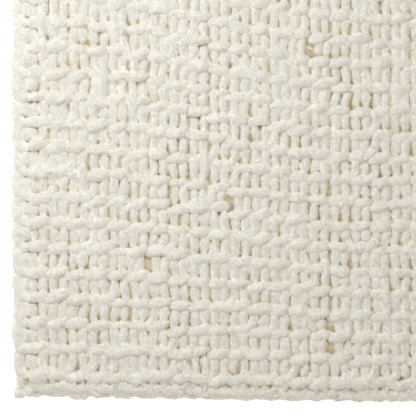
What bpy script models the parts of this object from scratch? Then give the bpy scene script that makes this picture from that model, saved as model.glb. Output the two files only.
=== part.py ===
"""A small chunky knit blanket in cream chenille yarn, lying flat.

The blanket is knitted in one piece, so it is one solid: ridges of stitches run across it, a
cast-on roll and a bind-off roll close its ends, and the turns of the yarn scallop its sides.
Lengths are in metres. In the functions, u runs across the blanket from its left side and v
along it from its cast-on edge, before the rows bow. The origin is under its middle, on the
surface that it lies on.
"""

import math

import bmesh
import bpy

YARN = 0.0098  # diameter of the yarn
STITCH = 0.0201  # width of one stitch, two legs side by side
STITCHES = 39
RIDGE = 0.0238  # from one ridge of stitches to the next, on average
RIDGES = 40
SELVAGE = 0.0175  # width of the smooth edge outside the first stitch

WIDTH = STITCHES * STITCH + 2 * SELVAGE
FIRST_RIDGE = 0.0225  # from the cast-on edge to the middle of the first ridge
LENGTH = 2 * FIRST_RIDGE + (RIDGES - 1) * RIDGE

CREST_TOP = 0.0190  # top of a ridge, above the surface the blanket lies on
LEGS_TOP = 0.0158  # top of the legs between two ridges
SELVAGE_TOP = 0.0145
ROLL_TOP = 0.0155  # top of the cast-on and bind-off rolls
RIM_TOP = 0.0110  # where the top meets the rim
RIM_HEIGHT = 0.0055  # height at which the outline is widest
RIM = 0.0030  # how far the rim stands out from the edges of the top and of the underside

EDGE_SAG = 0.0050  # how far the middle of every row hangs below its ends
BOW = 0.0228  # how far the middle row's ends rise and its middle hangs besides
WANDER = 0.0016  # slow unevenness of the rows
WANDER_ACROSS = 0.270
WANDER_ALONG = 0.410
SCALLOP = 0.0022  # how far each turn of yarn stands out at the sides
CORNER_PINCH = 0.0045  # how far the sides are drawn in just inside the end rolls
PINCH_PLACE = 0.0160
PINCH_SPREAD = 0.0060

INNER_COLUMNS = 16  # spaces between the lines of points along the blanket

YARN_COLOR = (0.83, 0.79, 0.70, 1.0)
YARN_ROUGHNESS = 0.95


def bell(offset, spread):
    return math.exp(-((offset / spread) ** 2))


def lift(u, v):
    """How far the rows' unevenness lifts a point from its place in a true rectangle."""
    bow = math.cos(2 * math.pi * u / WIDTH)
    along = math.sin(math.pi * v / LENGTH)
    wander = math.sin(2 * math.pi * (u / WANDER_ACROSS + v / WANDER_ALONG))
    return EDGE_SAG / 2 * bow + along * (BOW * bow + WANDER * wander)


def side_inset(v):
    """How far the sides lie inside the blanket's full width, at v."""
    from_end = min(v, LENGTH - v)
    at_ridge = math.cos(math.pi * (v - FIRST_RIDGE) / RIDGE) ** 2
    return SCALLOP * at_ridge + CORNER_PINCH * bell(from_end - PINCH_PLACE, PINCH_SPREAD)


def rows():
    """(v, height of the top) of each line of points across the blanket."""
    roll = [
        (RIM, RIM_TOP),
        (0.0070, ROLL_TOP),
        (0.0120, 0.9 * ROLL_TOP),
        (0.0160, RIM_TOP),
    ]
    ridge = [
        (-0.55 * YARN, LEGS_TOP),
        (-0.22 * YARN, CREST_TOP),
        (0.22 * YARN, CREST_TOP),
        (0.55 * YARN, LEGS_TOP),
    ]
    found = list(roll)
    for number in range(RIDGES):
        middle = FIRST_RIDGE + number * RIDGE
        found += [(middle + offset, height) for offset, height in ridge]
    found += [(LENGTH - v, height) for v, height in reversed(roll)]
    return found


def columns():
    """(u, greatest height of the top) of each line of points along the blanket."""
    edge = [(RIM, RIM_TOP), (0.45 * SELVAGE, SELVAGE_TOP), (SELVAGE, SELVAGE_TOP)]
    first = SELVAGE + YARN / 2
    step = (WIDTH - 2 * first) / INNER_COLUMNS
    inner = [(first + number * step, CREST_TOP) for number in range(INNER_COLUMNS + 1)]
    return edge + inner + [(WIDTH - u, height) for u, height in reversed(edge)]


def on_blanket(u, v, height):
    """The point at u, v and a height, with the sides drawn in and the rows uneven."""
    from_side = min(u, WIDTH - u)
    drawn_in = side_inset(v) * max(0.0, 1 - from_side / (2 * SELVAGE))
    inward = drawn_in if u < WIDTH / 2 else -drawn_in
    return (u + inward - WIDTH / 2, v + lift(u, v) - LENGTH / 2, height)


def knit_top(mesh, outward):
    """The ridged top, a grid whose edge points know which way is outward."""
    across, along = columns(), rows()
    last_column, last_row = len(across) - 1, len(along) - 1
    bmesh.ops.create_grid(mesh, x_segments=last_column, y_segments=last_row, size=1.0)
    mesh.verts.ensure_lookup_table()
    for number, vertex in enumerate(mesh.verts):
        row, column = divmod(number, last_column + 1)
        u, column_height = across[column]
        v, row_height = along[row]
        vertex.co = on_blanket(u, v, min(column_height, row_height))
        vertex[outward] = (
            (column == last_column) - (column == 0),
            (row == last_row) - (row == 0),
            0,
        )


def rim_ring(mesh, outward, edges, distance, height):
    """Extrudes an open ring of edges outward to a height, and returns the new ring."""
    made = bmesh.ops.extrude_edge_only(mesh, edges=edges)["geom"]
    for vertex in (item for item in made if isinstance(item, bmesh.types.BMVert)):
        vertex.co += distance * vertex[outward].normalized()
        vertex.co.z = height
    return [item for item in made if isinstance(item, bmesh.types.BMEdge)]


def yarn_material():
    material = bpy.data.materials.new("cream chenille yarn")
    material.use_nodes = True
    shader = material.node_tree.nodes["Principled BSDF"]
    shader.inputs["Base Color"].default_value = YARN_COLOR
    shader.inputs["Roughness"].default_value = YARN_ROUGHNESS
    shader.inputs["Metallic"].default_value = 0.0
    material.diffuse_color = YARN_COLOR
    return material


def knit_blanket():
    """The whole blanket: its ridged top, its rounded rim and its flat underside."""
    mesh = bmesh.new()
    outward = mesh.verts.layers.float_vector.new("outward")
    knit_top(mesh, outward)
    top_edge = [edge for edge in mesh.edges if edge.is_boundary]
    widest = rim_ring(mesh, outward, top_edge, RIM, RIM_HEIGHT)
    lowest = rim_ring(mesh, outward, widest, -RIM, 0.0)
    bmesh.ops.holes_fill(mesh, edges=lowest, sides=0)
    bmesh.ops.recalc_face_normals(mesh, faces=mesh.faces[:])
    data = bpy.data.meshes.new("knit_blanket")
    mesh.to_mesh(data)
    mesh.free()
    data.shade_smooth()
    data.materials.append(yarn_material())
    blanket = bpy.data.objects.new("knit_blanket", data)
    bpy.context.scene.collection.objects.link(blanket)


for leftover in list(bpy.data.objects):
    bpy.data.objects.remove(leftover)
knit_blanket()
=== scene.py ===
"""The chunky knit blanket in cream chenille yarn.

Two yarns make each course. The ridge yarn crosses the front as one bar a stitch and dips
between the bars. The leg yarn runs up and down between two ridges, as two legs a stitch, and
turns behind the bars. Looped yarns run up the sides, and each end has two strands turned about
each other. Under them all lies the ground, a thin sheet that shows in the slits between legs.
Lengths are in metres. u runs across the blanket from its left side and v along it from its
cast-on edge, before the rows bow.
"""

import math

import bmesh
import bpy
import numpy as np
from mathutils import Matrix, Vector, noise


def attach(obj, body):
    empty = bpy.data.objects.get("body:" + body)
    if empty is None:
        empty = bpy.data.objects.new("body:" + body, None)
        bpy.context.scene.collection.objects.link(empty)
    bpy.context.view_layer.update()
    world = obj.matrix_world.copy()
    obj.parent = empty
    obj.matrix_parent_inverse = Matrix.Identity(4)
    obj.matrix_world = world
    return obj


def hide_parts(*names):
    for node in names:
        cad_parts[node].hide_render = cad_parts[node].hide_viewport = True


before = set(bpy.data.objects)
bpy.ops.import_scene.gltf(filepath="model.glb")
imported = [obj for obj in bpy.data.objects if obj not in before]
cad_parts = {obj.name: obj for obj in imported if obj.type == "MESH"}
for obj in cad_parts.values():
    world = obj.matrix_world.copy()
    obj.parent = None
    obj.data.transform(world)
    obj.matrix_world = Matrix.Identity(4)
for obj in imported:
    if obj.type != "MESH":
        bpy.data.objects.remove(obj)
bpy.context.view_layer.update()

# The blanket's own sizes, the same as in its construction.
YARN = 0.0098
STITCH = 0.0201
STITCHES = 39
RIDGE = 0.0238
RIDGES = 40
SELVAGE = 0.0175
FIRST_RIDGE = 0.0225
WIDTH = STITCHES * STITCH + 2 * SELVAGE
LENGTH = 2 * FIRST_RIDGE + (RIDGES - 1) * RIDGE
EDGE_SAG = 0.0050
BOW = 0.0228
WANDER = 0.0016
WANDER_ACROSS = 0.270
WANDER_ALONG = 0.410

LUMP_DEPTH, LUMP_SIZE = 0.0010, 0.0090  # of the lumps of the yarn's surface
LUMP_ROUGHNESS = 0.45  # spread of the random unevenness of its points, as a share of that depth
FLOOR_GAP = 0.0002  # from the floor to the lowest yarn
LEAST_FROM_END = 0.0080  # least distance from the blanket's end to where the legs turn
SIDES = 8  # flats round a yarn
THIN_TIP = 0.7  # share of its thickness that a yarn has at its two tips
STRIPS = 5  # joined pieces that the stitches are kept in, side by side
STRIP_WANDER = 1.5  # stitches that the line between two strips wanders by
SOFT_FROM = 1.3  # stitches from such a line, from where light spreads fully in the yarn
HARDEST = 0.30  # share that light spreads by on such a line

# Parts of a bar, whose ends are tucked in beside the legs or turned up over them, and of the dip
# to the next bar. Columns: stitches across from its left end, yarns up from its ridge, height
# of the yarn's middle in yarns, thickness in yarns, rings up to the next row.
LEFT_TUCKED = [(-0.04, -0.17, 0.90, 0.92, 1), (0.05, -0.22, 1.18, 1.06, 2)]
LEFT_TURNED_UP = [
    (-0.25, 1.50, 0.90, 0.92, 1),
    (-0.25, 1.02, 1.14, 1.04, 2),
    (-0.18, 0.34, 1.31, 1.10, 2),
    (0.03, -0.13, 1.35, 1.14, 2),
]
BAR = [(0.25, -0.13, 1.37, 1.19, 3), (0.50, -0.01, 1.40, 1.23, 3), (0.75, 0.12, 1.34, 1.18, 2)]
RIGHT_TUCKED = [(0.92, 0.21, 1.10, 1.04, 2), (1.02, 0.27, 0.78, 0.92, 1)]
RIGHT_TURNED_UP = [
    (0.97, 0.09, 1.32, 1.14, 2),
    (1.15, 0.42, 1.30, 1.10, 2),
    (1.25, 1.06, 1.14, 1.04, 1),
    (1.25, 1.56, 0.90, 0.92, 1),
]
DIP = [(1.00, 0.04, 0.66, 0.86, 1)]
BAR_FLAT = 0.12  # share that a bar is flattened by
WAIST_CHANCE = 0.15
WAIST = (0.10, 0.86)  # yarns that a bar lies lower at its waist, and its share of thickness there
FIRST_SAG = 0.18  # yarns that the bars of the first ridge sag

# Parts of a leg, which goes up behind the next bar or over it, and of the turns to the next leg,
# behind the ridge above and behind the one below. Columns: stitches aside, ridge (0 below,
# 1 above, or a share of the way), yarns up from there, height in yarns, thickness in yarns,
# rings up to the next row.
LEG_UP = [
    (0.00, 0.0, 0.20, 0.95, 0.92, 1),
    (0.00, 0.0, 0.66, 1.15, 1.02, 2),
    (0.00, 0.5, 0.05, 1.18, 1.16, 2),
    (0.00, 1.0, -0.64, 1.16, 1.12, 1),
    (0.00, 1.0, -0.20, 1.02, 0.98, 1),
]
LEG_OVER = [
    (0.00, 0.0, 0.20, 0.96, 1.04, 1),
    (0.00, 0.0, 0.62, 1.12, 1.10, 2),
    (0.02, 0.5, 0.00, 1.18, 1.14, 2),
    (0.03, 1.0, -0.50, 1.36, 1.12, 2),
    (0.02, 1.0, 0.00, 1.54, 1.12, 2),
    (0.00, 1.0, 0.46, 1.34, 1.08, 1),
    (0.00, 1.0, 0.76, 1.08, 1.04, 1),
]
HEAD = [(0.25, 1.0, 0.20, 0.44, 0.84, 1)]
SINKER = [(0.25, 0.0, -0.30, 0.42, 0.84, 1)]
LEG_PLACE = 0.262  # stitches from a leg's middle to the nearer side of its stitch
LEG_FLAT = 0.10
FIRST_LEGS_LOW = 0.87  # share of their height that the legs before the first ridge have

# A loop of the side edge, from under the loop above, down the side and round into its ridge.
# Columns: metres from the side, ridge, yarns up, height and thickness in yarns, rings.
EDGE_LOOP = [
    (0.0084, 1, 0.90, 0.40, 1.00, 1),
    (0.0076, 1, 0.36, 0.52, 1.26, 2),
    (0.0076, 1, -0.34, 0.74, 1.36, 3),
    (0.0073, 0.5, 0.05, 0.90, 1.40, 3),
    (0.0078, 0, 0.62, 0.98, 1.36, 3),
    (0.0092, 0, 0.14, 1.06, 1.28, 3),
    (0.0134, 0, -0.10, 1.14, 1.20, 3),
    (0.0178, 0, -0.04, 1.16, 1.10, 2),
    (0.0208, 0, 0.16, 0.98, 0.98, 2),
    (0.0228, 0, 0.28, 0.70, 0.86, 1),
]
# The short leg between a loop of the side edge and the first stitch, in the same columns.
EDGE_LEG = [
    (0.0148, 0, 0.06, 1.02, 1.14, 1),
    (0.0154, 0, 0.48, 1.12, 1.24, 2),
    (0.0160, 0.5, 0.0, 1.12, 1.14, 2),
    (0.0166, 1, -0.58, 1.14, 1.22, 2),
    (0.0168, 1, -0.05, 1.00, 1.12, 1),
]
EDGE_FLAT = 0.14
BROAD = 0.0012  # that the outer part of a broad loop is wider than that of another
BROAD_OUTSIDE = 0.0080  # distance from the side that this part lies within
BROAD_CHANCE = 0.35
BROAD_FIRST = 4  # loops from the cast-on edge up that are all broad
DRAWN_IN = 0.0012  # that the last loop of a side edge stands further in

# The last loop of a side edge, which runs to the corner. Columns: metres from the side and from
# the end, height and thickness in yarns, rings.
CORNER_STRAND = [
    (0.0075, 0.0290, 0.56, 0.80, 1),
    (0.0078, 0.0235, 0.68, 0.94, 2),
    (0.0090, 0.0175, 0.80, 1.02, 2),
    (0.0102, 0.0125, 0.82, 0.96, 2),
    (0.0102, 0.0080, 0.70, 0.84, 1),
    (0.0098, 0.0040, 0.50, 0.60, 1),
]
STRAND_FLAT = 0.10
SECOND_STRAND = 0.0062  # from it to a second one, further in

KNOT = 0.0068  # radius of the round knot at a corner
KNOT_PLACE = (0.0077, 0.0053)  # of its middle, from the side and from the end
KNOT_RINGS = 11
KNOT_TIP = 0.0003  # least radius, at its two tips

# The short loops over the end beside a knot. Columns: metres from the end, height.
CORNER_LOOP = [
    (0.0010, 0.0046),
    (0.0024, 0.0070),
    (0.0050, 0.0100),
    (0.0085, 0.0118),
    (0.0125, 0.0110),
    (0.0150, 0.0080),
]
CORNER_LOOPS = (0.0156, 0.0208)  # from the side
CORNER_LOOP_THICK = 0.60

# The two strands along an end, and a thinner yarn outside them.
ROPE_START, ROPE_STOP = 0.0165, 0.0160  # from the left side and from the right one
ROPE_TURN = 0.056  # along an end, of one turn of its two strands
ROPE_RING = 0.0030  # between two rings of a strand
ROPE_FLAT = 0.10
ROPE_PLACE, ROPE_HEIGHT = 0.0094, 0.0091  # of the middle between the strands
ROPE_ASIDE, ROPE_ABOVE = 0.0015, 0.0026  # that a strand swings from there
ROPE_BOW = 0.0011  # that they lie further in at the sides, and further out in the middle
ROPE_UNEVEN = 0.35  # spread of how far a strand turns from ring to ring, as a share
ROPE_THICK, ROPE_PUFF, ROPE_TIP = 1.02, 0.08, 0.6
OUTER_PLACE, OUTER_HEIGHT, OUTER_THICK = 0.0055, 0.0062, 0.80
OUTER_BULGE = 0.0013  # that the thinner yarn stands further out once a stitch

# The woven-in end of the yarn. Columns: millimetres along, millimetres high, thickness in yarns.
YARN_END = [
    (-10.5, 4.0, 0.30),
    (-8.0, 4.7, 0.60),
    (-4.0, 5.4, 0.86),
    (1.0, 5.6, 0.90),
    (5.5, 5.4, 0.84),
    (9.0, 4.7, 0.55),
    (11.0, 4.0, 0.28),
]
YARN_END_PLACE = (0.0672, 0.0013)

# Wide holes, where a yarn of the back shows: the ridge below them and the stitch on their left.
HOLES = [(4, 5), (7, 9), (14, 13), (2, 14), (1, 14)]
WIDE_HOLE = 0.17  # stitches that the legs beside a hole stand back
SMALL_HOLE = 0.12
SMALL_HOLE_CHANCE = 0.006
HOLE_REACH = 1.4  # stitches from a hole that legs still stand back in

# Half of the yarn of the back that shows in a wide hole, up to its middle. Columns: metres
# across, height, thickness in yarns.
BACK_YARN = [(-0.0130, 0.0035, 0.80), (-0.0090, 0.0060, 0.90), (-0.0045, 0.0082, 0.95)]
BACK_YARN_MIDDLE = (0.0, 0.0088, 1.0)
BACK_YARN_TILT = 0.25  # greatest slope of one

# How stitches differ, each the spread of a random draw: a stitch's place, in metres up and
# across; a bar's in yarns that it tilts, lies further up and lies higher, and the share that
# it is thicker; a leg's in stitches aside and leaning, yarns higher, share thicker, and share
# thicker above than below; a side loop's in metres aside, yarns higher and share thicker.
STITCH_UP, STITCH_ACROSS = 0.0010, 0.0005
BAR_TILT, BAR_UP, BAR_HIGHER, BAR_PUFF = 0.21, 0.08, 0.04, 0.07
LEG_ASIDE, LEG_LEAN, LEG_HIGHER, LEG_PUFF, LEG_TAPER = 0.012, 0.018, 0.03, 0.020, 0.04
EDGE_ASIDE, EDGE_HIGHER, EDGE_PUFF = 0.0006, 0.05, 0.06

# The stitches lie less evenly in one place near the left side.
UNEVEN_STITCH, UNEVEN_RIDGE = 4, 14
UNEVEN_ACROSS, UNEVEN_ALONG = 5, 6  # stitches and ridges that the place reaches over
# Chances that a bar's end is turned up and that a leg goes over a bar: usual, more in that place.
LEFT_UP = (0.11, 0.12)
RIGHT_UP = (0.17, 0.12)
LEG_OVER_BAR = (0.015, 0.09)
FIRST_UP = 0.6  # chance that an end of a bar is turned up in the first ridge besides

DRIFT = 0.0028  # that neighbouring stitches of one ridge drift sideways together
DRIFT_FROM = 3  # stitches from a side, from where they drift fully
SLOWLY_PLUMP = 0.07  # share that the yarn is thicker or thinner by, which changes slowly
PLUMP_SIDES = 0.05  # share that it is thicker by at the sides
PLUMP_STITCHES = 4  # that this fades over
THIN_ENDS = 0.035  # share that it is thinner by at the ends
THIN_RIDGES = 5  # that this fades over
LEG_PLUMP = 0.6  # share of all three that legs have

# Height of the blanket's top over its legs, under which shade is painted into the yarn's colour:
# from the edge, and the heights there.
SIDE_TOP = ((0.0025, 0.0060, 0.0100, 0.0200), (0.0072, 0.0104, 0.0122, 0.0160))
END_TOP = ((0.0015, 0.0055, 0.0090, 0.0125, 0.0180), (0.0040, 0.0085, 0.0112, 0.0142, 0.0162))

GROUND_TOP = 0.0116
GROUND_LUMPS, LUMPS_A_METRE = 0.0006, 90
GROUND_WAVES = 0.0013  # up between two ridges, down beneath them
GROUND_INSET = (0.008, 0.009)  # from the sides and from the ends
GROUND_THICK = 0.002
GROUND_GRID = (84, 200)  # spaces between its points, across and along
# Height of the ground at a side and at an end, and from the edge where it starts to rise from
# there and is at full height.
SIDE_FALL = (0.0108, 0.0098, 0.0140)
END_FALL = (0.0096, 0.0102, 0.0142)

CREAM_DARK = (0.770, 0.715, 0.618, 1)
CREAM_LIGHT = (0.870, 0.832, 0.752, 1)
# Painted shade: the tan that the yarn's colour turns to deep under the blanket's top, for the
# shade in the slits.
PAINTED_SHADE_TAN = (0.62, 0.50, 0.24, 1)
PAINTED_SHADE_DEPTHS = (0.10, 0.42)  # under the blanket's top, in yarns, from where it warms to full tan
LIGHT_SPREAD = 0.0058  # that light spreads inside the yarn
PILE_DEPTH = 0.0030
# The ground's colours are painted shade: the tan of the knit's shaded inside, darker where it lies
# lower.
GROUND_SHADE_LOW = (0.55, 0.45, 0.27, 1)
GROUND_SHADE_HIGH = (0.64, 0.56, 0.41, 1)
GROUND_SHADE_HEIGHTS = (0.0104, 0.0136)  # heights with these two colours

VIEW_MIDDLE = Vector((-0.2125, -0.2941, 0.0))  # of the corner that the camera looks down at
VIEW_WIDTH, VIEW_LEVEL = 0.416, 0.012  # the width that it sees, and the height where it does
LENS, SENSOR = 100, 36


def lift(u, v):
    """How far the rows' unevenness lifts a point from its place in a true rectangle."""
    bow = np.cos(2 * math.pi * u / WIDTH)
    along = np.sin(math.pi * v / LENGTH)
    wander = np.sin(2 * math.pi * (u / WANDER_ACROSS + v / WANDER_ALONG))
    return EDGE_SAG / 2 * bow + along * (BOW * bow + WANDER * wander)


def ridge_place(ridge):
    """v of a ridge, or of a share of the way between two of them."""
    return np.clip(FIRST_RIDGE + ridge * RIDGE, LEAST_FROM_END, LENGTH - LEAST_FROM_END)


def on_blanket(u, v, height):
    """The point at u, v and a height, with the rows uneven."""
    return np.stack([u - WIDTH / 2, v + lift(u, v) - LENGTH / 2, height], axis=-1)


def smooth_run(points, rings):
    """Points along the smooth curve that runs near the given ones, a cubic B-spline."""
    found = []
    for k in range(1, len(points) - 2):
        around = points[k - 1 : k + 3]
        for t in np.arange(rings[k]) / rings[k]:
            share = np.array(
                [
                    (1 - t) ** 3,
                    3 * t**3 - 6 * t**2 + 4,
                    -3 * t**3 + 3 * t**2 + 3 * t + 1,
                    t**3,
                ]
            )
            found.append(share @ around / 6)
    found.append((points[-3] + 4 * points[-2] + points[-1]) / 6)
    return np.array(found)


def finish_run(rows, cuts=()):
    """A yarn's smooth run, cut into one run a strip. Rows: u, v, height, thickness, flatness,
    rings; cuts: the rows that the strips begin at."""
    rows = np.array(rows)
    rings = rows[:, 5].astype(int)
    places = on_blanket(rows[:, 0], rows[:, 1], rows[:, 2])
    run = smooth_run(np.hstack([places, rows[:, 3:5]]), rings)
    run[[0, -1], 3] *= THIN_TIP
    at = [0] + [int(rings[1:cut].sum()) for cut in cuts] + [len(run) - 1]
    return [run[a : b + 1] for a, b in zip(at, at[1:])]


def yarn_spline(curve, run):
    """Adds a yarn to a curve: rows of x, y, z, thickness in yarns and flatness."""
    spline = curve.splines.new("POLY")
    spline.points.add(len(run) - 1)
    places = np.hstack([run[:, :3], np.ones((len(run), 1))])
    spline.points.foreach_set("co", places.ravel())
    spline.points.foreach_set("radius", run[:, 3].copy())


def new_yarns(name):
    """An empty curve that makes every line in it a round yarn."""
    curve = bpy.data.curves.new(name, "CURVE")
    curve.dimensions = "3D"
    curve.bevel_depth = YARN / 2
    curve.bevel_resolution = SIDES // 2 - 2
    return curve


def plush(mesh):
    """Makes a yarn's surface softly uneven, and keeps it off the floor."""
    count = len(mesh.vertices)
    places, normals = np.empty(count * 3), np.empty(count * 3, np.float32)
    mesh.vertices.foreach_get("co", places)
    mesh.vertex_normals.foreach_get("vector", normals)
    places = places.reshape(-1, 3)
    lumps = np.array(
        [noise.noise(Vector(p)) + noise.noise(Vector(2.3 * p)) for p in places / LUMP_SIZE]
    )
    lumps += np.random.default_rng(count).normal(0, LUMP_ROUGHNESS, count)
    places += LUMP_DEPTH * lumps[:, None] * normals.reshape(-1, 3)
    places[:, 2] = np.maximum(places[:, 2], FLOOR_GAP)
    mesh.vertices.foreach_set("co", places.ravel())


def press(mesh, runs):
    """Makes each yarn as flat as its run says, a share off its height and a third of it on its
    width, and squares it a little."""
    count = len(mesh.vertices)
    places = np.empty(count * 3)
    mesh.vertices.foreach_get("co", places)
    places = places.reshape(-1, 3)
    middles = np.repeat(np.vstack(runs), SIDES, axis=0)
    flat = middles[:, 4:5]
    offset = places - middles[:, :3]
    aside, above = np.hypot(offset[:, :1], offset[:, 1:2]), np.abs(offset[:, 2:])
    square = np.hypot(aside, above) / (aside**3 + above**3) ** (1 / 3)
    offset *= 1 + (square - 1) * np.clip(flat * 3, 0, 1)
    offset *= np.hstack([1 + flat / 3, 1 + flat / 3, 1 - flat])
    mesh.vertices.foreach_set("co", (middles[:, :3] + offset).ravel())


def mark_depth(mesh):
    """Keeps how deep each point lies under the blanket's top, in yarns, which sets how much shade
    is painted there.
    """
    places = np.empty(len(mesh.vertices) * 3)
    mesh.vertices.foreach_get("co", places)
    x, y, z = places.reshape(-1, 3).T
    u, v = x + WIDTH / 2, y + LENGTH / 2
    v = v - lift(u, v)
    over_side = np.interp(np.minimum(u, WIDTH - u), *SIDE_TOP)
    over_end = np.interp(np.minimum(v, LENGTH - v), *END_TOP)
    depth = mesh.attributes.new("painted_shade_depth", "FLOAT", "POINT")
    depth.data.foreach_set("value", (np.minimum(over_side, over_end) - z) / YARN)


def mark_softness(mesh):
    """Keeps how far light spreads in each point's yarn: less near the lines between strips."""
    places = np.empty(len(mesh.vertices) * 3)
    mesh.vertices.foreach_get("co", places)
    x, y, _ = places.reshape(-1, 3).T
    u, v = x + WIDTH / 2, y + LENGTH / 2
    stitch, ridge = (u - SELVAGE) / STITCH, (v - lift(u, v) - FIRST_RIDGE) / RIDGE
    away = np.min([np.abs(stitch - strip_line(k, ridge)) for k in range(1, STRIPS)], axis=0)
    softness = mesh.attributes.new("softness", "FLOAT", "POINT")
    softness.data.foreach_set("value", np.clip(away / SOFT_FROM, HARDEST, 1))


def close_ends(mesh):
    """Caps the two ends of every yarn."""
    shape = bmesh.new()
    shape.from_mesh(mesh)
    bmesh.ops.holes_fill(shape, edges=[e for e in shape.edges if e.is_boundary], sides=SIDES)
    shape.to_mesh(mesh)
    shape.free()


def knitted_piece(name, runs, material):
    """One strip of the knitting, all its yarns joined in one mesh."""
    curve = new_yarns(name)
    for run in runs:
        yarn_spline(curve, run)
    maker = bpy.data.objects.new("maker", curve)
    mesh = bpy.data.meshes.new_from_object(maker)
    bpy.data.objects.remove(maker)
    bpy.data.curves.remove(curve)
    mesh.name = name
    press(mesh, runs)
    plush(mesh)
    mark_depth(mesh)
    mark_softness(mesh)
    close_ends(mesh)
    mesh.shade_smooth()
    mesh.materials.clear()
    mesh.materials.append(material)
    piece = bpy.data.objects.new(name, mesh)
    bpy.context.scene.collection.objects.link(piece)
    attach(piece, "root")
    return piece


# What differs from stitch to stitch, by ridge and stitch: how far the stitch lies up from its
# place and its left side lies across from it, which ends of its bar are turned up, which of its
# legs go over a bar, and how far legs stand back from its right side for a hole.
rng = np.random.default_rng(11)
grid = (RIDGES + 2, STITCHES + 3)
shift_up = rng.normal(0, STITCH_UP, grid)
between = rng.normal(0, STITCH_ACROSS, grid)
for ridge in range(RIDGES + 2):
    for stitch in range(STITCHES + 1):
        inside = min(1, stitch / DRIFT_FROM, (STITCHES - stitch) / DRIFT_FROM)
        slow = noise.noise(Vector((stitch * 0.33, ridge * 0.8, 7.0)))
        between[ridge, stitch] += DRIFT * inside * slow
ridges, stitches = np.indices(grid)
uneven = np.exp(
    -(((stitches - UNEVEN_STITCH) / UNEVEN_ACROSS) ** 2)
    - ((ridges - UNEVEN_RIDGE) / UNEVEN_ALONG) ** 2
)
left_up = rng.random(grid) < LEFT_UP[0] + LEFT_UP[1] * uneven
right_up = rng.random(grid) < RIGHT_UP[0] + RIGHT_UP[1] * uneven
over = rng.random((*grid, 2)) < LEG_OVER_BAR[0] + LEG_OVER_BAR[1] * uneven[..., None]
holes = SMALL_HOLE * (rng.random(grid) < SMALL_HOLE_CHANCE)
left_up[0, :STITCHES] |= rng.random(STITCHES) < FIRST_UP
right_up[0, :STITCHES] |= rng.random(STITCHES) < FIRST_UP
for ridge, stitch in HOLES:
    holes[ridge, stitch] = WIDE_HOLE
    left_up[ridge, stitch : stitch + 3] = False
    right_up[ridge, stitch - 1 : stitch + 2] = False
    over[ridge, stitch : stitch + 2] = False


def across_at(ridge, stitch):
    """u at a number of stitches across a ridge, with the stitches' own uneven widths."""
    k = int(math.floor(stitch))
    share = stitch - k
    aside = between[ridge]
    if k < 0 or k > STITCHES:
        return SELVAGE + stitch * STITCH
    return SELVAGE + stitch * STITCH + (1 - share) * aside[k] + share * aside[k + 1]


def aside_of_holes(ridge, place):
    """Stitches that a leg stands aside for the holes near it."""
    moved = 0.0
    for stitch in range(max(int(place) - 2, 0), min(int(place) + 3, STITCHES)):
        away = place - (stitch + 1)
        reach = 1 - (abs(away) - LEG_PLACE) / HOLE_REACH
        moved += math.copysign(holes[ridge, stitch] * min(max(reach, 0), 1), away)
    return moved


def plumpness(ridge, stitch):
    """The share that the yarn is thicker by: more near the sides, less near the ends, and
    changing slowly between them."""
    from_side = min(stitch, STITCHES - 1 - stitch)
    from_end = min(ridge, RIDGES - 1 - ridge)
    slow = SLOWLY_PLUMP * noise.noise(Vector((stitch * 0.31, ridge * 0.43, 4.0)))
    side = PLUMP_SIDES * math.exp(-from_side / PLUMP_STITCHES)
    end = THIN_ENDS * math.exp(-max(from_end, 0) / THIN_RIDGES)
    return slow + side - end


def strip_line(k, ridge):
    """Stitches across to the line that strip k begins at, on one ridge."""
    return k * STITCHES / STRIPS + STRIP_WANDER * np.sin(0.42 * ridge + 2.1 * k)


def strip_starts(ridge):
    """The stitches that the strips after the first begin at, on one ridge."""
    return [round(strip_line(k, ridge)) for k in range(1, STRIPS)]


def ridge_yarn(number):
    """The bars of one ridge, from the left side to the right, one run a strip."""
    rnd = np.random.default_rng(1000 + number)
    rows, cuts = [], []
    for stitch in range(STITCHES):
        tilt = rnd.normal(0, BAR_TILT)
        further_up = rnd.normal(0, BAR_UP)
        puff = rnd.normal(0, BAR_PUFF) + plumpness(number, stitch)
        higher = rnd.normal(0, BAR_HIGHER)
        waist = rnd.random() < WAIST_CHANCE
        sag = FIRST_SAG * (number == 0)
        left, right = LEFT_TUCKED, RIGHT_TUCKED
        if left_up[number, stitch] and stitch:
            left = LEFT_TURNED_UP
        if right_up[number, stitch] and stitch < STITCHES - 1:
            right = RIGHT_TURNED_UP
        if stitch in strip_starts(number):
            cuts.append(len(rows) - 1)
        for across, up, height, thick, rings in left + BAR + right + DIP:
            u = across_at(number, stitch + across)
            v = ridge_place(number) + up * YARN + shift_up[number, stitch]
            if 0 < across < 1:
                v += (further_up + tilt * (across - 0.5) - sag * math.sin(math.pi * across)) * YARN
                height += higher
            if waist and across == 0.50:
                height -= WAIST[0]
                thick *= WAIST[1]
            rows.append((u, v, height * YARN, thick * (1 + puff), BAR_FLAT, rings))
    return finish_run(rows, cuts)


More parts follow.
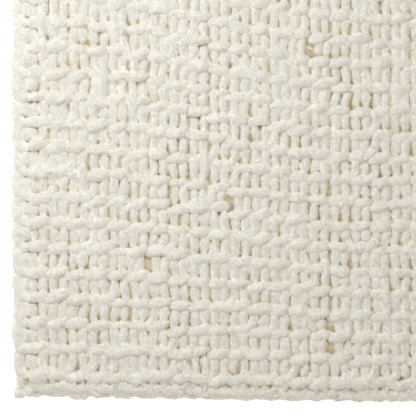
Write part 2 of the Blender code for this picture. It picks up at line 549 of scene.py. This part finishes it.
def leg_yarn(number):
    """The legs between one ridge and the next, from the left to the right, one run a strip."""
    rnd = np.random.default_rng(5000 + number)
    rows, cuts = [], []
    share_high = FIRST_LEGS_LOW if number < 0 else 1.0

    def add(stitch, part, aside_by=0.0):
        lean = rnd.normal(0, 1, 2) * (LEG_ASIDE, LEG_LEAN)
        puff = rnd.normal(0, LEG_PUFF) + LEG_PLUMP * plumpness(number + 0.5, stitch)
        higher = rnd.normal(0, LEG_HIGHER)
        taper = rnd.normal(0, LEG_TAPER)
        for aside, ridge, up, height, thick, rings in part:
            below = across_at(number, stitch + aside)
            above = across_at(number + 1, stitch + aside)
            u = (1 - ridge) * below + ridge * above
            u += (lean[0] + (ridge - 0.5) * lean[1] + aside_by) * STITCH
            v = ridge_place(number + ridge) + up * YARN
            v += (1 - ridge) * shift_up[number, int(stitch)]
            v += ridge * shift_up[number + 1, int(stitch)]
            height = (height + higher) * share_high
            thick *= 1 + puff + taper * (2 * ridge - 1)
            rows.append((u, v, height * YARN, thick, LEG_FLAT, rings))

    for stitch in range(STITCHES):
        if stitch in strip_starts(number + 0.5):
            cuts.append(len(rows) - 1)
        places = stitch + LEG_PLACE, stitch + 1 - LEG_PLACE
        aside = [aside_of_holes(number, place) if number >= 0 else 0 for place in places]
        goes_over = [over[number, stitch, k] and number >= 0 for k in (0, 1)]
        first, second = (LEG_OVER if is_over else LEG_UP for is_over in goes_over)
        add(places[0], first[::-1], aside[0])
        add(places[0], SINKER)
        add(places[1], second, aside[1])
        add(places[1], HEAD)
    return finish_run(rows, cuts)


def back_yarn(ridge, stitch):
    """The yarn of the back that shows in a wide hole."""
    u, v = across_at(ridge, stitch + 1), ridge_place(ridge + 0.5)
    tilt = BACK_YARN_TILT * math.sin(3.0 * ridge + stitch)
    other_half = [(-across, height, thick) for across, height, thick in BACK_YARN[::-1]]
    parts = [*BACK_YARN, BACK_YARN_MIDDLE, *other_half]
    return finish_run(
        [(u + across, v + tilt * across, height, thick, 0.0, 2) for across, height, thick in parts]
    )[0]


def side_run(rows, right):
    """One run from rows of metres from the side, v, height, thickness, flatness and rings."""
    if right:
        rows = [(WIDTH - row[0], *row[1:]) for row in rows]
    return finish_run(rows)[0]


def edge_loops(number, right):
    """The loop of a side edge between two ridges, and the short leg beside it."""
    rnd = np.random.default_rng(9000 + 2 * number + right)
    runs = []
    broad = BROAD * (rnd.random() < BROAD_CHANCE or number < BROAD_FIRST)
    for part in (EDGE_LOOP, EDGE_LEG):
        puff = rnd.normal(0, EDGE_PUFF)
        aside = rnd.normal(0, EDGE_ASIDE) + DRAWN_IN * (number == 0)
        higher = rnd.normal(0, EDGE_HIGHER)
        rows = []
        for from_side, ridge, up, height, thick, rings in part:
            outer = from_side < BROAD_OUTSIDE
            v = ridge_place(number + ridge) + up * YARN
            thick = thick * (1 + puff) + outer * broad / YARN
            u = from_side + aside + outer * broad / 2
            rows.append((u, v, (height + higher) * YARN, thick, EDGE_FLAT, rings))
        runs.append(side_run(rows, right))
    return runs


def corner(right, far):
    """The end of a side edge: a round knot, its last two strands and two short loops."""
    knot = []
    for turn in np.linspace(-math.pi / 2, math.pi / 2, KNOT_RINGS):
        thick = max(KNOT * math.cos(turn), KNOT_TIP) / (YARN / 2)
        v = KNOT_PLACE[1] + KNOT * math.sin(turn)
        knot.append((KNOT_PLACE[0], v, KNOT, thick, 0.0, 1))
    parts = [knot]
    for further_in in (0, SECOND_STRAND):
        parts.append(
            [
                (u + further_in, v, height * YARN, thick, STRAND_FLAT, rings)
                for u, v, height, thick, rings in CORNER_STRAND
            ]
        )
    for u in CORNER_LOOPS:
        parts.append([(u, v, height, CORNER_LOOP_THICK, 0.0, 2) for v, height in CORNER_LOOP])
    runs = []
    for rows in parts:
        if far:
            rows = [(row[0], LENGTH - row[1], *row[2:]) for row in rows]
        runs.append(side_run(rows, right))
    return runs


def end_edge(far):
    """The yarns along an end of the blanket, in runs of one turn: two strands that turn about each
    other, cut where each is hidden under the other, and a thinner one that lies lower outside."""
    rnd = np.random.default_rng(5 + far)
    u = np.arange(ROPE_START, WIDTH - ROPE_STOP, ROPE_RING)
    steps = 1 + rnd.normal(0, ROPE_UNEVEN, len(u))
    turn = np.cumsum(steps) * 2 * math.pi * ROPE_RING / ROPE_TURN
    bow = np.cos(2 * math.pi * u / WIDTH)  # 1 at the sides, -1 in the middle
    twist = 0.6 + 0.4 * bow
    yarns = []
    for phase in (0.0, math.pi):
        v = ROPE_PLACE + ROPE_BOW * bow + ROPE_ASIDE * twist * np.cos(turn + phase)
        height = ROPE_HEIGHT + ROPE_ABOVE * twist * np.sin(turn + phase)
        yarns.append((phase, v, height, ROPE_THICK - 0.06 * bow))
    bulge = np.abs(np.sin(math.pi * ROPE_TURN / STITCH * turn / (2 * math.pi)))
    v = OUTER_PLACE - 0.0005 * bow - OUTER_BULGE * bulge
    yarns.append((0.5, v, np.full(len(u), OUTER_HEIGHT), OUTER_THICK + 0.09 * bulge))
    runs = []
    for phase, v, height, thick in yarns:
        puff = np.array([ROPE_PUFF * noise.noise(Vector((x * 50, phase, far))) for x in u])
        v = LENGTH - v if far else v
        flat = np.full(len(u), ROPE_FLAT)
        run = np.column_stack([on_blanket(u, v, height), thick + puff, flat])
        turns_done = np.floor((turn + phase + math.pi / 2) / (2 * math.pi))
        hidden = [k for k in range(1, len(u)) if turns_done[k] != turns_done[k - 1]]
        cuts = [0, *hidden, len(u) - 1]
        runs += [run[a : b + 1] for a, b in zip(cuts, cuts[1:]) if b > a]
    runs[0][0, 3] *= ROPE_TIP
    return runs


def yarn_end():
    """The woven-in end of the yarn, which shows as a small lump on the cast-on edge."""
    u, v = YARN_END_PLACE
    return finish_run(
        [(u + along / 1000, v, high / 1000, thick, 0, 2) for along, high, thick in YARN_END]
    )[0]


def new_material(name):
    """A new material, with its nodes, its links and its shader."""
    material = bpy.data.materials.new(name)
    material.use_nodes = True
    tree = material.node_tree
    return material, tree.nodes, tree.links, tree.nodes["Principled BSDF"]


def attribute(nodes, name):
    """The value that each point keeps under this name."""
    node = nodes.new("ShaderNodeAttribute")
    node.attribute_name = name
    return node.outputs["Fac"]


def noise_pattern(nodes, links, place, scale, detail):
    """A noise pattern that stays with the yarn."""
    node = nodes.new("ShaderNodeTexNoise")
    node.inputs["Scale"].default_value = scale
    node.inputs["Detail"].default_value = detail
    links.new(place.outputs["Object"], node.inputs["Vector"])
    return node


def remapped(nodes, links, value, old, new, steps="LINEAR"):
    """A value that runs over the old range, mapped to the new one."""
    node = nodes.new("ShaderNodeMapRange")
    node.interpolation_type = steps
    for name, number in zip(("From Min", "From Max", "To Min", "To Max"), (*old, *new)):
        node.inputs[name].default_value = number
    links.new(value, node.inputs["Value"])
    return node.outputs["Result"]


def product(nodes, links, first, second):
    """Two values multiplied, of which the second may be a number."""
    node = nodes.new("ShaderNodeMath")
    node.operation = "MULTIPLY"
    links.new(first, node.inputs[0])
    if isinstance(second, float):
        node.inputs[1].default_value = second
    else:
        links.new(second, node.inputs[1])
    return node.outputs[0]


def chenille():
    """The look of the yarn: pale and matt, with painted shade that makes it warmer where light
    reaches it less.
    """
    material, nodes, links, shader = new_material("cream chenille")
    shader.inputs["Roughness"].default_value = 0.95
    shader.inputs["Sheen Weight"].default_value = 0.20
    shader.inputs["Sheen Roughness"].default_value = 0.5
    shader.inputs["Specular IOR Level"].default_value = 0.15
    place = nodes.new("ShaderNodeTexCoord")

    # Light spreads inside the soft pile.
    shader.subsurface_method = "BURLEY"
    shader.inputs["Subsurface Weight"].default_value = 1.0
    shader.inputs["Subsurface Radius"].default_value = (0.86, 0.92, 1.0)
    softness = attribute(nodes, "softness")
    spread = product(nodes, links, softness, LIGHT_SPREAD)
    links.new(spread, shader.inputs["Subsurface Scale"])

    # The cream is mottled.
    mottle = noise_pattern(nodes, links, place, scale=420, detail=4)
    ramp = nodes.new("ShaderNodeValToRGB")
    stops = ramp.color_ramp.elements
    for stop, share, color in zip(stops, (0.32, 0.68), (CREAM_DARK, CREAM_LIGHT)):
        stop.position = share
        stop.color = color
    links.new(mottle.outputs["Fac"], ramp.inputs["Fac"])

    # Painted shade: deep in the slits the colour turns tan.
    depth = attribute(nodes, "painted_shade_depth")
    painted_shade_mix = nodes.new("ShaderNodeMix")
    painted_shade_mix.data_type = "RGBA"
    shade_share = remapped(nodes, links, depth, PAINTED_SHADE_DEPTHS, (0.0, 1.0), "SMOOTHSTEP")
    links.new(shade_share, painted_shade_mix.inputs[0])
    links.new(ramp.outputs["Color"], painted_shade_mix.inputs[6])
    painted_shade_mix.inputs[7].default_value = PAINTED_SHADE_TAN

    # Single fibres shade it. Where light spreads less it would look darker, so it's paler there.
    fibre = noise_pattern(nodes, links, place, scale=1100, detail=2)
    shade = remapped(nodes, links, fibre.outputs["Fac"], (0.3, 0.7), (0.90, 1.05))
    paler = remapped(nodes, links, softness, (HARDEST, 1.0), (1.075, 1.0))
    tone = nodes.new("ShaderNodeVectorMath")
    tone.operation = "SCALE"
    links.new(painted_shade_mix.outputs[2], tone.inputs[0])
    links.new(product(nodes, links, shade, paler), tone.inputs["Scale"])
    links.new(tone.outputs["Vector"], shader.inputs["Base Color"])

    # The fuzz of the pile.
    pile = noise_pattern(nodes, links, place, scale=430, detail=4)
    pile.inputs["Roughness"].default_value = 0.65
    bump = nodes.new("ShaderNodeBump")
    bump.inputs["Strength"].default_value = 1.0
    bump.inputs["Distance"].default_value = PILE_DEPTH
    links.new(pile.outputs["Fac"], bump.inputs["Height"])
    links.new(bump.outputs["Normal"], shader.inputs["Normal"])
    return material


def ground_painted_shade():
    """The look of the ground: a tan painted shade for the knit's shaded inner side, paler the
    higher it lies, where less shade is painted.
    """
    material, nodes, links, shader = new_material("ground painted shade")
    shader.inputs["Roughness"].default_value = 1.0
    place = nodes.new("ShaderNodeTexCoord")
    height = nodes.new("ShaderNodeSeparateXYZ")
    links.new(place.outputs["Object"], height.inputs["Vector"])
    share = remapped(nodes, links, height.outputs["Z"], GROUND_SHADE_HEIGHTS, (0.0, 1.0), "SMOOTHSTEP")
    tone = nodes.new("ShaderNodeMix")
    tone.data_type = "RGBA"
    tone.inputs[6].default_value = GROUND_SHADE_LOW
    tone.inputs[7].default_value = GROUND_SHADE_HIGH
    links.new(share, tone.inputs[0])
    links.new(tone.outputs[2], shader.inputs["Base Color"])
    return material


# All the yarns, sorted into strips from the left side to the right.
yarn_look = chenille()
strips = [[] for _ in range(STRIPS)]
for number in range(-1, RIDGES):
    made = [leg_yarn(number)]
    if number >= 0:
        made.append(ridge_yarn(number))
        strips[0].extend(edge_loops(number, 0))
        strips[-1].extend(edge_loops(number, 1))
    for runs in made:
        for strip, run in zip(strips, runs):
            strip.append(run)
for ridge, stitch in HOLES:
    strip = sum(start <= stitch for start in strip_starts(ridge + 0.5))
    strips[strip].append(back_yarn(ridge, stitch))
strips[0].append(yarn_end())
for far in (0, 1):
    strips[0].extend(corner(0, far))
    strips[-1].extend(corner(1, far))
    for run in end_edge(far):
        across = run[len(run) // 2, 0] / WIDTH + 0.5
        strips[int(across * STRIPS)].append(run)
yarns = [knitted_piece(f"stitches_{k + 1}", strip, yarn_look) for k, strip in enumerate(strips)]


def ground_top(u, v):
    """Height of the ground, which falls away at the blanket's edges."""
    lumps = GROUND_LUMPS * noise.noise(Vector((u * LUMPS_A_METRE, v * LUMPS_A_METRE, 2.0)))
    lumps -= GROUND_WAVES * math.cos(2 * math.pi * (v - FIRST_RIDGE) / RIDGE)
    heights = []
    edges = ((min(u, WIDTH - u), SIDE_FALL), (min(v, LENGTH - v), END_FALL))
    for from_edge, (low, start, full) in edges:
        share = min(max((from_edge - start) / (full - start), 0), 1)
        heights.append(low + (GROUND_TOP + lumps - low) * share)
    return min(heights)


def knit_ground(material):
    """The thin sheet under the yarns, which stands for the inner side of the knit."""
    mesh = bmesh.new()
    across, along = GROUND_GRID
    bmesh.ops.create_grid(mesh, x_segments=across, y_segments=along, size=1.0)
    for vertex in mesh.verts:
        u = WIDTH / 2 + vertex.co.x * (WIDTH / 2 - GROUND_INSET[0])
        v = LENGTH / 2 + vertex.co.y * (LENGTH / 2 - GROUND_INSET[1])
        vertex.co = on_blanket(np.array(u), np.array(v), np.array(ground_top(u, v)))
    data = bpy.data.meshes.new("knit_ground")
    mesh.to_mesh(data)
    mesh.free()
    data.materials.append(material)
    piece = bpy.data.objects.new("knit_ground", data)
    bpy.context.scene.collection.objects.link(piece)
    solidify = piece.modifiers.new("thickness", "SOLIDIFY")
    solidify.thickness = GROUND_THICK
    solidify.offset = -1
    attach(piece, "root")
    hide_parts("knit_blanket")
    return piece


ground = knit_ground(ground_painted_shade())

# Floor, light and camera
floor_mesh = bpy.data.meshes.new("floor")
shape = bmesh.new()
bmesh.ops.create_grid(shape, x_segments=1, y_segments=1, size=6.0)
shape.to_mesh(floor_mesh)
shape.free()
floor = bpy.data.objects.new("floor", floor_mesh)
bpy.context.scene.collection.objects.link(floor)
floor_look, _, _, floor_shader = new_material("floor")
floor_shader.inputs["Base Color"].default_value = (0.93, 0.93, 0.93, 1)
floor_shader.inputs["Roughness"].default_value = 0.9
floor_shader.inputs["Emission Color"].default_value = (1, 1, 1, 1)
floor_shader.inputs["Emission Strength"].default_value = 0.55
floor_mesh.materials.append(floor_look)

world = bpy.data.worlds.new("studio")
world.use_nodes = True
world.node_tree.nodes["Background"].inputs["Color"].default_value = (1.0, 0.972, 0.925, 1)
world.node_tree.nodes["Background"].inputs["Strength"].default_value = 0.69
bpy.context.scene.world = world
bpy.context.scene.view_settings.view_transform = "Standard"

lamp_data = bpy.data.lights.new("soft light", "AREA")
lamp_data.shape = "DISK"
lamp_data.size = 0.6
lamp_data.energy = 5.85
lamp_data.color = (0.87, 0.93, 1.0)
lamp = bpy.data.objects.new("soft light", lamp_data)
lamp.location = VIEW_MIDDLE + Vector((-0.40, 0.45, 0.78))
lamp.rotation_euler = (VIEW_MIDDLE - lamp.location).to_track_quat("-Z", "Y").to_euler()
bpy.context.scene.collection.objects.link(lamp)

camera_data = bpy.data.cameras.new("camera")
camera_data.sensor_width = SENSOR
camera_data.lens = LENS
camera = bpy.data.objects.new("camera", camera_data)
camera.location = VIEW_MIDDLE + Vector((0, 0, VIEW_WIDTH * LENS / SENSOR + VIEW_LEVEL))
bpy.context.scene.collection.objects.link(camera)
bpy.context.scene.camera = camera
